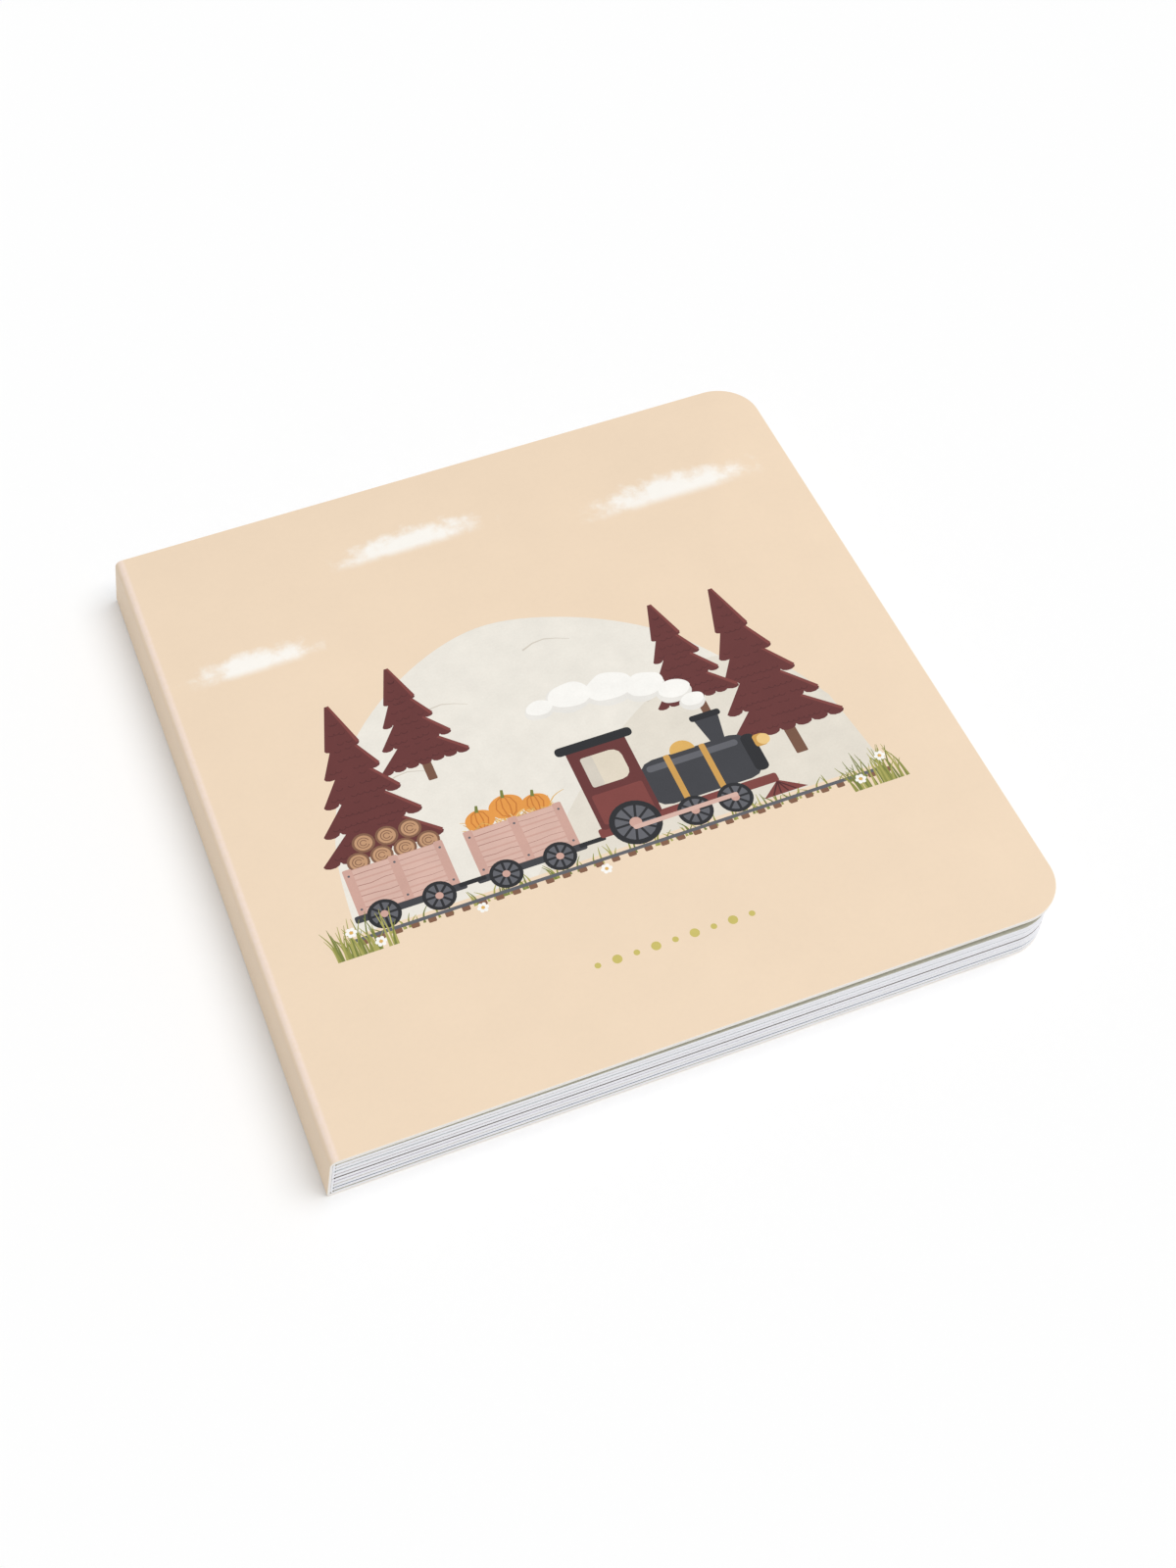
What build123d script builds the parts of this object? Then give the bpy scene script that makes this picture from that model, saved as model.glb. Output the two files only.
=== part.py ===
from build123d import *
import os
from math import atan2, cos, pi, sqrt, tan

# A baby's board book, closed and lying on its back cover: +X runs from the spine to the
# fore-edge, +Y from the tail to the head, and the origin is at the middle of the underside.
#
# Each spread is one sheet of card, folded once down its middle. The spreads are glued back to
# back, so a leaf is the halves of two neighbouring spreads, and at the spine the folds lie over
# each other like the turns of an accordion. One more sheet of card wraps round them. Its halves
# are glued on the outer halves of the first and last spreads, which makes the two covers, and
# the strip between its halves is the spine. It creases where the covers meet that strip, level
# with the first and last folds, so an opened cover lies level with the page beside it.

# Overall sizes, in millimetres
book_width = 175.0          # spine to fore-edge
book_height = 180.0         # tail to head
corner_radius = 11.0        # die-cut corners at the fore-edge

# Card and leaves
leaf_count = 8              # between the covers
wrap_card = 0.7             # sheet that wraps round the spine
spread_ply = 0.53           # sheet that a spread is folded from

# Gaps between the boards, where they end at the fore-edge
cover_gap = 2.2             # under the front cover, which springs open most
open_gap = 0.21             # at the leaves that stand a little open
closed_gap = 0.03           # at all other leaves
open_gap_places = (5, 7)    # which gaps stand open, counted down from the one under the cover

# Spine and fore-edge
spine_lean = 2.2            # how far the ridge stands in from the heel
fore_lean = 1.4             # how far the underside stands in from the front cover's fore-edge
ridge_radius = 1.4          # where the wrap turns from the front cover into the spine
heel_radius = 0.8           # where it turns from the spine under the back cover
glue_line = 0.1             # between the wrap and the crowns of the folds
groove_turn = 25.0          # degrees of each fold's turn that the glue fills in the grooves
level_run = 6.0             # the leaves leave the folds level over this length, then fan out
hinge_offset = 0.1          # hinge axes outside the face of the spine

cover_board = wrap_card + spread_ply
leaf_board = 2 * spread_ply
fore_x = book_width


# Heights of the gaps

def edge_gap(place):
    """The gap's height at the fore-edge; place 0 lies under the front cover."""
    if place == 0:
        return cover_gap
    return open_gap if place in open_gap_places else closed_gap


edge_gaps = [edge_gap(place) for place in range(leaf_count + 1)]
fold_gap = sum(edge_gaps) / len(edge_gaps)
thickness = 2 * cover_board + leaf_count * leaf_board + sum(edge_gaps)


def fold_heights(place):
    """Lower and upper face of a gap at the folds, where all gaps are alike."""
    upper = thickness - cover_board - place * (leaf_board + fold_gap)
    return upper - fold_gap, upper


def edge_heights(place):
    """Lower and upper face of a gap at the fore-edge."""
    upper = thickness - cover_board - place * leaf_board - sum(edge_gaps[:place])
    return upper - edge_gaps[place], upper


# The spine's slant, and the places of the folds behind it

slant = atan2(spine_lean, thickness)
ridge_reach = ridge_radius * tan(pi / 4 - slant / 2)
heel_reach = heel_radius * tan(pi / 4 + slant / 2)
heel_x = heel_radius - heel_reach
ridge_x = heel_x + spine_lean
ridge_centre = (ridge_x + ridge_reach, thickness - ridge_radius)
heel_centre = (heel_x + heel_reach, heel_radius)
valley_radius = fold_gap / 2
crown_radius = spread_ply + valley_radius


def spine_face_x(height):
    return heel_x + height * tan(slant)


def clear_of_rounding(centre, radius, height):
    """How far right a fold must stand to lie inside a rounding of the wrap."""
    room = radius - wrap_card - glue_line - crown_radius
    rise = abs(height - centre[1])
    if rise >= room:
        return centre[0] if room > 0 else 0
    return centre[0] - sqrt(room**2 - rise**2)


def fold_centre(place):
    """Axis of a fold: its crown lies a glue line away from the wrap."""
    height = sum(fold_heights(place)) / 2
    across = spine_face_x(height) + (wrap_card + glue_line + crown_radius) / cos(slant)
    if height > ridge_centre[1]:
        across = max(across, clear_of_rounding(ridge_centre, ridge_radius, height))
    if height < heel_centre[1]:
        across = max(across, clear_of_rounding(heel_centre, heel_radius, height))
    return across, height


places = range(leaf_count + 1)
fold_centres = [fold_centre(place) for place in places]
front_crease_z = fold_centres[0][1]
back_crease_z = fold_centres[-1][1]
fan_x = max(across for across, height in fold_centres) + level_run


# Page block: one line runs down the folds at the spine, and back up in and out of every gap.
# The first and last folds are only half here, for their other halves are in the covers.

def fold_crown(place):
    """Outside of a fold, whose turn is cut short by the glue in the grooves beside it."""
    start = 180 if place == 0 else 90 + groove_turn
    end = 180 if place == leaf_count else 270 - groove_turn
    return CenterArc(fold_centres[place], crown_radius, start, end - start)


def fold_valley(place):
    """Inside of a fold, where its gap ends."""
    start = 180 if place == 0 else 90
    end = 180 if place == leaf_count else 270
    return CenterArc(fold_centres[place], valley_radius, start, end - start)


def leaf_outline(leaf):
    """Faces and fore-edge of a leaf, from the gap below it to the gap above it."""
    above, below = leaf - 1, leaf
    bottom, top = fold_heights(below)[1], fold_heights(above)[0]
    return Polyline(
        (fold_centres[below][0], bottom),
        (fan_x, bottom),
        (fore_x, edge_heights(below)[1]),
        (fore_x, edge_heights(above)[0]),
        (fan_x, top),
        (fold_centres[above][0], top),
    )


def page_block_section():
    crowns = [fold_crown(place) for place in places]
    valleys = [fold_valley(place) for place in places]
    grooves = [Line(upper @ 1, lower @ 0) for upper, lower in zip(crowns, crowns[1:])]
    leaves = [leaf_outline(leaf) for leaf in places[1:]]
    half_folds = [Line(crowns[0] @ 0, valleys[0] @ 0), Line(crowns[-1] @ 1, valleys[-1] @ 1)]
    return make_face(Curve() + crowns + valleys + grooves + leaves + half_folds)


# Wrap: the strip over the spine, and the two covers

def wrap_line():
    """Outer face of the wrap, from the front cover over the spine to the back cover."""
    corners = (fore_x, thickness), (ridge_x, thickness), (heel_x, 0), (fore_x, 0)
    return FilletPolyline(*corners, radius=(ridge_radius, heel_radius))


def between(section, low, high):
    """The part of a section that lies between two heights."""
    slab = Pos(fore_x / 2, (low + high) / 2) * Rectangle(2 * fore_x, high - low)
    return section & slab


def spine_section():
    sheet = make_face(offset(wrap_line(), amount=wrap_card, side=Side.LEFT))
    return between(sheet, back_crease_z, front_crease_z)


def cover_section(low):
    outline = wrap_line()
    book = make_face(Curve() + [outline, Line(outline @ 1, outline @ 0)])
    return between(book, low, low + cover_board)


def die_cut():
    """The trimmed outline of the covers and leaves, which leans the way the spine does."""
    sheet = Rectangle(book_width, book_height, align=(Align.MIN, Align.CENTER))
    sheet = fillet(sheet.vertices().group_by(Axis.X)[-1], corner_radius)
    rise = Vector(fore_lean, 0, thickness)
    return extrude(Pos(-fore_lean, 0, 0) * sheet, rise.length, dir=rise)


def full_height(section):
    return extrude(Plane.XZ * section, book_height / 2, both=True)


def build_book():
    """Every piece in its place, with the heel of the spine at X = 0."""
    outline = die_cut()
    return {
        "page_block": full_height(page_block_section()) & outline,
        "spine": full_height(spine_section()),
        "front_cover": full_height(cover_section(thickness - cover_board)) & outline,
        "back_cover": full_height(cover_section(0)) & outline,
    }


def hinge_axis(crease_z, slit):
    """Place of a cover's hinge in X and Z, halfway up the slit between cover and spine."""
    across = spine_face_x(crease_z) - hinge_offset - book_width / 2
    return round(across, 4), round(crease_z + slit / 2, 4)


os.makedirs("parts", exist_ok=True)
to_middle = Pos(-book_width / 2, 0, 0)
for name, piece in build_book().items():
    export_step(to_middle * piece, f"parts/{name}.step")

print("thickness", round(thickness, 3))
print("front hinge axis at x, z:", *hinge_axis(front_crease_z, valley_radius))
print("back hinge axis at x, z:", *hinge_axis(back_crease_z, -valley_radius))
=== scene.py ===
import random
from math import atan2, cos, hypot, pi, radians, sin, tan

import bmesh
import bpy
from mathutils import Matrix, Vector
from mathutils.geometry import delaunay_2d_cdt


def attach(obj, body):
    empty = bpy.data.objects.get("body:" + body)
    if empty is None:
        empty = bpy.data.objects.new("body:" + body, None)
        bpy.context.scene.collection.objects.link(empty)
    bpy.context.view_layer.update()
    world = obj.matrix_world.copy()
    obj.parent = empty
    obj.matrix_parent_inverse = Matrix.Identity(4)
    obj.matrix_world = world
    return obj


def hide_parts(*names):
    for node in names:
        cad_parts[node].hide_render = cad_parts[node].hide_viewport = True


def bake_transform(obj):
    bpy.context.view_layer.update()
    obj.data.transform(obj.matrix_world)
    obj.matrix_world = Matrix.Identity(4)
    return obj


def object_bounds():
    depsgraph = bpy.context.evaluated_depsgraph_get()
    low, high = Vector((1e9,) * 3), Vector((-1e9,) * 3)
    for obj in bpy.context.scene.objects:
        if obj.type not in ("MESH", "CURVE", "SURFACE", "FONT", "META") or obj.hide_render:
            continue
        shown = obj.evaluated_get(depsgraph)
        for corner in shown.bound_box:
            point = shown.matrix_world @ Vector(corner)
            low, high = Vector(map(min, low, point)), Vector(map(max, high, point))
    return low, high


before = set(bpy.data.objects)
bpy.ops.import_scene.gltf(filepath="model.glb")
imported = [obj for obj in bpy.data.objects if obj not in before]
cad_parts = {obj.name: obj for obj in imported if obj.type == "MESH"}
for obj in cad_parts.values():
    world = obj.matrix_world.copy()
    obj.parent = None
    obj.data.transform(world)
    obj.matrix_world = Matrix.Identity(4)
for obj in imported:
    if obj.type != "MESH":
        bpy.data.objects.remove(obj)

# A baby's board book, closed and lying on its back cover. Sizes here are in millimetres, and the
# meshes are made in metres, in the frame of the solids: +X from the spine to the fore-edge, +Y from
# the tail to the head.

MM = 0.001
cad_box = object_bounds()

# Sizes of the book

spine_x = cad_box[0].x / MM
fore_x = cad_box[1].x / MM
half_height = cad_box[1].y / MM
thickness = cad_box[1].z / MM
corner_radius = 11.0
leaf_count = 8
wrap_card = 0.7             # thickness of the sheet that wraps round the spine
spread_ply = 0.53           # thickness of the sheets that the spreads are folded from
cover_gap = 2.08            # under the front cover, at the fore-edge
open_gap = 0.3              # at the leaves that stand a little open
closed_gap = 0.02           # at all other leaves
open_gap_places = (4, 7)    # which gaps stand open, counted down from the one under the cover
spine_lean = 2.2            # how far the ridge stands in from the heel
fore_lean = 1.4             # how far the underside stands in from the front cover's fore-edge
ridge_radius = 1.9          # a little rounder than the solid's
heel_radius = 0.8
glue_line = 0.1             # between the wrap and the crowns of the folds
seam_height = 2.2           # where the wrap's front and back pieces meet, low on the spine
edge_round = 0.12           # soft rim that the die leaves on the wrap
lining_round = 0.6 * edge_round
leaf_round = 0.14
leaf_slack = 0.03           # how much thinner than the solid's a leaf is on each of its sides
bead_turn = 76.0            # degrees of each fold's turn that the glue fills
eye_radius = 0.34           # the spreads don't close right up to their folds
leaf_inset = 1.25           # how far the leaves stand in from the front cover's fore-edge
uneven_trim = 0.05          # how far a leaf may lie out of line, towards the head or the tail
trim_seed = 4
front_crease = (0.33, 0.37) # how far the wrap bends above and below the first fold
back_crease = (0.37, 0.38)  # and above and below the last one
spine_heights = [9.0, 6.0, 4.0]     # lines across the spine between its two creases
floor_drop = 0.02           # how far the floor lies under the book

# Points on the arcs of the meshes
corner_points = 15
lining_crown_points = 9
leaf_crown_points = 7
eye_points = 6

# Places of the materials on a piece
PRINT, CUT = 0, 1

cover_board = wrap_card + spread_ply
leaf_board = 2 * spread_ply
edge_gaps = [cover_gap] + [closed_gap] * leaf_count
for open_place in open_gap_places:
    edge_gaps[open_place] = open_gap
fold_gap = sum(edge_gaps) / len(edge_gaps)
pitch = leaf_board + fold_gap
valley_radius = fold_gap / 2
crown_radius = spread_ply + valley_radius

# The wrap's path: over the front cover, round the ridge, down the slanted spine, round the heel
# and back under the book

slant = atan2(spine_lean, thickness)
spine_turn = pi / 2 - slant
ridge_reach = ridge_radius * tan(spine_turn / 2)
heel_reach = heel_radius * tan((pi - spine_turn) / 2)
heel_centre_x = spine_x + heel_radius
heel_corner_x = heel_centre_x - heel_reach
ridge_centre_x = heel_corner_x + spine_lean + ridge_reach
ridge_run = ridge_radius * spine_turn
spine_run = hypot(spine_lean, thickness) - ridge_reach - heel_reach
heel_run = heel_radius * (pi - spine_turn)
spine_start = ridge_centre_x - ridge_run
spine_end = spine_start - spine_run
under_start = spine_end - heel_run
under_end = under_start - (fore_x - fore_lean - heel_centre_x)

fold_step = pitch * tan(slant)
first_fold_z = thickness - cover_board - valley_radius
first_fold_x = (
    heel_corner_x + first_fold_z * tan(slant) + (wrap_card + glue_line + crown_radius) / cos(slant)
)
last_fold_x = first_fold_x - leaf_count * fold_step
last_fold_z = first_fold_z - leaf_count * pitch

# Heights over which the wrap bends when a cover opens: top and bottom of each crease
front_bend = (first_fold_z + front_crease[0], first_fold_z - front_crease[1])
back_bend = (last_fold_z + back_crease[0], last_fold_z - back_crease[1])


def wrap_place(along, y, depth):
    """Point of the wrap at a place on the flat sheet and a depth under its printed face."""
    if along >= ridge_centre_x:
        x, z, turn = along, thickness, 0.0
    elif along >= spine_start:
        turn = (ridge_centre_x - along) / ridge_radius
        x = ridge_centre_x - ridge_radius * sin(turn)
        z = thickness - ridge_radius + ridge_radius * cos(turn)
    elif along >= spine_end:
        turn = spine_turn
        x = ridge_centre_x - ridge_radius * sin(turn) - (spine_start - along) * cos(turn)
        z = thickness - ridge_radius + ridge_radius * cos(turn) - (spine_start - along) * sin(turn)
    elif along >= under_start:
        turn = spine_turn + (spine_end - along) / heel_radius
        x = heel_centre_x - heel_radius * sin(turn)
        z = heel_radius + heel_radius * cos(turn)
    else:
        x, z, turn = heel_centre_x + under_start - along, 0.0, pi
    return Vector((x + depth * sin(turn), y, z - depth * cos(turn)))


def along_at_height(height):
    """Place on the flat sheet of a height on the spine's straight face."""
    top = wrap_place(spine_start, 0, 0).z
    return spine_start - (top - height) / sin(spine_turn)


def fore_edge_at(height):
    """Where the fore-edge lies at a height, for the book leans the way its spine does."""
    return fore_x - fore_lean * (1 - height / thickness)


def spread(first, last, count):
    """Evenly spaced values from first to last, with both of them."""
    return [first + (last - first) * step / (count - 1) for step in range(count)]


def arc(centre, radius, start, end, count):
    """Points of an arc, with its start and end in degrees."""
    turns = [radians(turn) for turn in spread(start, end, count)]
    return [(centre[0] + radius * cos(turn), centre[1] + radius * sin(turn)) for turn in turns]


# Pictures: flat shapes in paint order, in millimetres on the cover, each with its sRGB colour

def linear(level):
    level /= 255
    return level / 12.92 if level <= 0.04045 else ((level + 0.055) / 1.055) ** 2.4


def colour(red, green, blue):
    """Linear colour from an sRGB one."""
    return (linear(red), linear(green), linear(blue), 1.0)


picture = []


def paint(points, tone):
    """Adds a shape to the picture, turned counter-clockwise."""
    ends = zip(points, points[1:] + points[:1])
    turned = sum(x * next_y - next_x * y for (x, y), (next_x, next_y) in ends)
    picture.append((points if turned > 0 else points[::-1], colour(*tone)))


def smooth(points, steps=6, closed=True):
    """Points on a smooth curve through the given ones."""
    count = len(points)

    def given_point(place):
        return points[place % count] if closed else points[min(max(place, 0), count - 1)]

    curve = []
    for place in range(count if closed else count - 1):
        near = [given_point(place + step) for step in (-1, 0, 1, 2)]
        for step in range(steps):
            t = step / steps
            weights = (
                (-t + 2 * t**2 - t**3) / 2,
                (2 - 5 * t**2 + 3 * t**3) / 2,
                (t + 4 * t**2 - 3 * t**3) / 2,
                (t**3 - t**2) / 2,
            )
            curve.append(tuple(sum(w * p[axis] for w, p in zip(weights, near)) for axis in (0, 1)))
    return curve if closed else curve + [points[-1]]


def blob(centre, across, up, draw, wobble=0.06, count=11):
    """A hand-drawn round shape."""
    points = []
    for step in range(count):
        turn = 2 * pi * step / count
        size = 1 + draw.uniform(-wobble, wobble)
        points.append((centre[0] + across * size * cos(turn), centre[1] + up * size * sin(turn)))
    return smooth(points, 4)


def disc(centre, radius, count=28):
    return arc(centre, radius, 0, 360 - 360 / count, count)


def board(left, low, right, high, round_by=0.6):
    """A rectangle with softened corners."""
    points = arc((right - round_by, high - round_by), round_by, 0, 90, 4)
    points += arc((left + round_by, high - round_by), round_by, 90, 180, 4)
    points += arc((left + round_by, low + round_by), round_by, 180, 270, 4)
    points += arc((right - round_by, low + round_by), round_by, 270, 360, 4)
    return points


def stroke(points, width, tip=0.25):
    """A brush line that is widest at its start and narrows towards its tip."""
    left, right = [], []
    last = len(points) - 1
    for place, (x, y) in enumerate(points):
        before, after = points[max(place - 1, 0)], points[min(place + 1, last)]
        run = hypot(after[0] - before[0], after[1] - before[1]) or 1.0
        half = width / 2 * (1 + (tip - 1) * place / last)
        aside = (-(after[1] - before[1]) / run * half, (after[0] - before[0]) / run * half)
        left.append((x + aside[0], y + aside[1]))
        right.append((x - aside[0], y - aside[1]))
    return right + left[::-1]


hill_far = (236, 231, 221)
hill_near = (228, 221, 208)
hill_shade = (213, 205, 192)
tree_dark = (104, 52, 51)
tree_line = (82, 38, 39)
tree_edge = (128, 66, 62)
trunk_tone = (120, 84, 66)
plank_tone = (207, 165, 152)
plank_light = (217, 180, 167)
plank_line = (171, 124, 114)
iron_tone = (63, 64, 69)
iron_light = (98, 99, 105)
iron_dark = (40, 41, 45)
straw_tones = ((222, 176, 96), (207, 158, 82), (236, 199, 132))
fruit_tone = (229, 154, 72)
fruit_line = (200, 122, 52)
log_tone = (132, 94, 72)
log_end = (196, 152, 116)
smoke_tone = (249, 247, 242)
smoke_shade = (233, 230, 224)
grass_tones = ((146, 147, 74), (121, 128, 62), (170, 166, 92))
flower_tone = (250, 248, 243)
dot_tone = (204, 190, 106)
cab_window = (226, 215, 196)
rail_y = -40.0              # top of the rails that the train stands on


def paint_hills():
    far = [(-63, -39), (-60, -14), (-49, 10), (-30, 27), (-8, 35), (14, 30), (34, 17), (48, -2)]
    paint(smooth(far, 8, False) + [(60, -39)], hill_far)
    near = [(-20, -39), (-2, -20), (18, -4), (38, 5), (54, 0), (63, -16)]
    paint(smooth(near, 8, False) + [(66, -39)], hill_near)
    for start in ((2, -14), (22, -2), (44, -6), (-44, -2), (-30, 14), (0, 24)):
        curve = [(start[0] + step * 3.0, start[1] + 1.6 * sin(step * 0.9)) for step in range(5)]
        paint(stroke(curve, 0.5), hill_shade)


def paint_fir(foot, base, height, width, tiers, draw):
    """A fir of overlapping tiers, each with a scalloped hem and faint scallop lines."""
    trunk = width * 0.05
    paint(board(foot - trunk, base - height * 0.16, foot + trunk, base + 1, 0.3), trunk_tone)
    rise = height / (tiers + 0.6)
    for tier in range(tiers):
        low = base + tier * rise
        half = width / 2 * (1 - tier / (tiers + 0.7))
        top = low + rise * 1.75
        hem = []
        scallops = max(3, 7 - tier)
        for scallop in range(scallops):
            left = -half + 2 * half * scallop / scallops
            right = left + 2 * half / scallops
            middle = (foot + (left + right) / 2, low + 0.9)
            bow = arc(middle, (right - left) / 2, 180, 360, 6)
            hem += [(x, middle[1] + (y - middle[1]) * 0.55) for x, y in bow[:-1]]
        hem.append((foot + half, low + 0.9))
        paint(hem + [(foot + 0.4, top), (foot - 0.4, top)], tree_dark)
        paint(stroke([(foot + half - 0.3, low + 1.1), (foot + 0.4, top)], 0.9, 0.6), tree_edge)
        for row in range(3):
            y = low + 2.4 + row * rise * 0.38
            reach = half * (1 - (y - low) / (top - low)) - 1.4
            count = max(1, int(reach / 1.3))
            for place in range(-count, count + 1):
                if draw.random() < 0.22:
                    continue
                middle = (foot + place * reach / count, y + draw.uniform(-0.2, 0.2))
                paint(stroke(arc(middle, 0.85, 200, 340, 6), 0.2, 0.6), tree_line)


def paint_straw(left, right, low, reach, count, draw):
    """Stalks that lie loosely over a wagon's rim."""
    for stalk in range(count):
        x = draw.uniform(left, right)
        lean = draw.uniform(-1.1, 1.1)
        length = reach * draw.uniform(0.5, 1.0)
        bend = (x + lean * length * 0.5, low + length * 0.6)
        tip = (x + lean * length, low + length * 0.8)
        paint(stroke(smooth([(x, low), bend, tip], 3, False), 0.42), straw_tones[stalk % 3])


def paint_pumpkin(centre, size, draw):
    """A ribbed pumpkin with its stem."""
    paint(blob(centre, size, size * 0.8, draw, 0.03), fruit_tone)
    x, y = centre
    turns = [radians(turn) for turn in (-80, -45, 0, 45, 80)]
    for place in (-0.55, -0.2, 0.2, 0.55):
        across, up = place * size, size * 0.72
        rib = [(x + across * cos(turn) * 1.05, y + up * sin(turn)) for turn in turns]
        paint(stroke(rib, 0.35, 0.8), fruit_line)
    stem = [(x, y + size * 0.62), (x + 0.5, y + size * 1.15)]
    paint(stroke(stem, 0.9, 0.7), grass_tones[1])


def paint_log(centre, radius):
    paint(disc(centre, radius, 20), log_tone)
    paint(disc(centre, radius * 0.78, 20), log_end)
    for share in (0.52, 0.28):
        ring = arc(centre, radius * share, 15, 330, 14)
        paint(stroke(ring, 0.22, 1.0), log_tone)


def paint_wheel(centre, radius, spokes):
    paint(disc(centre, radius), iron_dark)
    paint(disc(centre, radius * 0.78), iron_light)
    for spoke in range(spokes):
        turn = pi * spoke / spokes
        across, up = cos(turn) * radius * 0.8, sin(turn) * radius * 0.8
        start = (centre[0] - across, centre[1] - up)
        end = (centre[0] + across, centre[1] + up)
        paint(stroke([start, end], 0.6, 1.0), iron_dark)
    paint(disc(centre, radius * 0.24, 14), plank_tone)


def paint_wagon(left, right, load, draw):
    """An open plank wagon with its load."""
    low, high = rail_y + 5.5, rail_y + 18
    if load == "pumpkins":
        paint_straw(left + 2, right - 2, high - 1, 6, 30, draw)
        middle = (left + right) / 2
        for x, rise, size in ((left + 5, 2.2, 3.6), (right - 5.4, 2.0, 3.4), (middle, 3.6, 4.2)):
            paint_pumpkin((x, high + rise), size, draw)
        paint_straw(left + 1, right - 1, high - 1.6, 4, 26, draw)
    else:
        for row, count in enumerate((4, 3)):
            for place in range(count):
                x = left + 4.4 + row * 2.7 + place * 5.6
                paint_log((x, high + 1.4 + row * 4.7), 2.7)
    paint(board(left, low, right, high), plank_tone)
    for row in range(4):
        y = low + (high - low) * row / 4
        plank_top = y + (high - low) / 4 - 0.2
        paint(board(left + 0.4, y + 0.25, right - 0.4, plank_top, 0.35), plank_light)
        grain = []
        for step in range(7):
            x = left + 2 + step * (right - left - 4) / 6
            grain.append((x, y + 1.6 + draw.uniform(-0.25, 0.25)))
        paint(stroke(grain, 0.2, 0.5), plank_line)
    for x in (left, (left + right) / 2 - 1.1, right - 2.2):
        paint(board(x, low - 0.3, x + 2.2, high + 0.4, 0.4), plank_tone)
        for y in (low + 1.5, high - 1.5):
            paint(disc((x + 1.1, y), 0.32, 8), iron_light)
    paint(board(left - 1.2, low - 1.8, right + 1.2, low + 0.1, 0.5), iron_tone)
    for x in (left + 5.5, right - 5.5):
        paint_wheel((x, rail_y + 4.1), 3.9, 4)


def paint_engine(left, draw):
    """A small steam engine that faces the fore-edge."""
    floor_y = rail_y + 7.0
    cab_right = left + 15
    nose = left + 42
    paint(board(left - 1, floor_y - 2.0, nose + 1.5, floor_y + 0.6, 0.6), tree_edge)
    paint(board(cab_right - 1, floor_y + 1.0, nose, floor_y + 14.5, 4.2), iron_tone)
    paint(board(cab_right + 1, floor_y + 11.2, nose - 3, floor_y + 13.0, 0.8), iron_light)
    for x in (cab_right + 6, cab_right + 15):
        paint(board(x, floor_y + 1.0, x + 1.5, floor_y + 14.6, 0.4), straw_tones[1])
    paint(board(nose - 2.2, floor_y + 2.2, nose + 1.2, floor_y + 13.4, 1.4), iron_dark)
    paint(arc((cab_right + 11, floor_y + 14.3), 3.1, 0, 180, 14), straw_tones[0])
    chimney = nose - 7
    flue = ((-1.7, 14), (1.7, 14), (3.2, 22), (-3.2, 22))
    paint([(chimney + x, floor_y + y) for x, y in flue], iron_tone)
    paint(board(chimney - 3.9, floor_y + 21.2, chimney + 3.9, floor_y + 23.0, 0.7), iron_dark)
    paint(board(left, floor_y, cab_right, floor_y + 24, 0.9), tree_dark)
    paint(board(left + 1.2, floor_y + 1.2, cab_right - 1.2, floor_y + 10, 0.6), tree_edge)
    paint(board(left + 2.6, floor_y + 12, cab_right - 2.6, floor_y + 21, 2.4), cab_window)
    paint(board(left + 2.6, floor_y + 12, left + 5.6, floor_y + 21, 0.6), hill_shade)
    paint(board(left - 2.2, floor_y + 23.2, cab_right + 2.2, floor_y + 25.8, 1.1), iron_dark)
    paint(board(nose + 0.6, floor_y + 8.8, nose + 3.6, floor_y + 12.4, 0.8), straw_tones[1])
    paint(disc((nose + 3.0, floor_y + 10.6), 1.6, 16), straw_tones[2])
    guard = [(nose + 1, floor_y - 1.6), (nose + 7, rail_y + 1.4), (nose - 4, rail_y + 1.4)]
    paint(guard, tree_edge)
    for step in range(4):
        x = nose - 1.6 + step * 1.9
        paint(stroke([(nose + 0.8, floor_y - 2), (x, rail_y + 1.6)], 0.35, 1.0), tree_line)
    paint_wheel((left + 8, rail_y + 6.4), 6.2, 5)
    for x in (left + 22, left + 32):
        paint_wheel((x, rail_y + 4.4), 4.2, 4)
    paint(board(left + 7, rail_y + 4.6, left + 33, rail_y + 5.8, 0.5), plank_light)
    puffs = (
        (1, 27.5, 3.2),
        (4, 32, 4.4),
        (10, 36, 5.6),
        (18, 38.5, 6.6),
        (28, 39.5, 6.0),
        (36, 38.5, 3.6),
    )
    smoke = [(chimney - behind, floor_y + rise, size) for behind, rise, size in puffs]
    for x, y, size in smoke:
        paint(blob((x, y - 0.6), size, size * 0.72, draw), smoke_shade)
    for x, y, size in smoke:
        paint(blob((x + 0.4, y + 0.4), size * 0.9, size * 0.62, draw), smoke_tone)


def paint_track():
    for step in range(33):
        x = -63.0 + step * 4.0
        paint(board(x, rail_y - 2.0, x + 1.9, rail_y - 0.6, 0.3), log_tone)
    paint(board(-65, rail_y - 0.8, 66, rail_y + 0.1, 0.3), iron_light)


def paint_grass(left, right, base, height, count, draw):
    for blade in range(count):
        x = draw.uniform(left, right)
        lean = draw.uniform(-2.6, 2.6)
        tall = height * draw.uniform(0.45, 1.0)
        points = [(x, base), (x + lean * 0.25, base + tall * 0.55), (x + lean, base + tall)]
        paint(stroke(smooth(points, 3, False), 0.62, 0.15), grass_tones[blade % 3])


def paint_flower(centre, size):
    for petal in disc(centre, size, 6):
        paint(disc(petal, size * 0.56, 8), flower_tone)
    paint(disc(centre, size * 0.5, 8), straw_tones[0])


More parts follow.
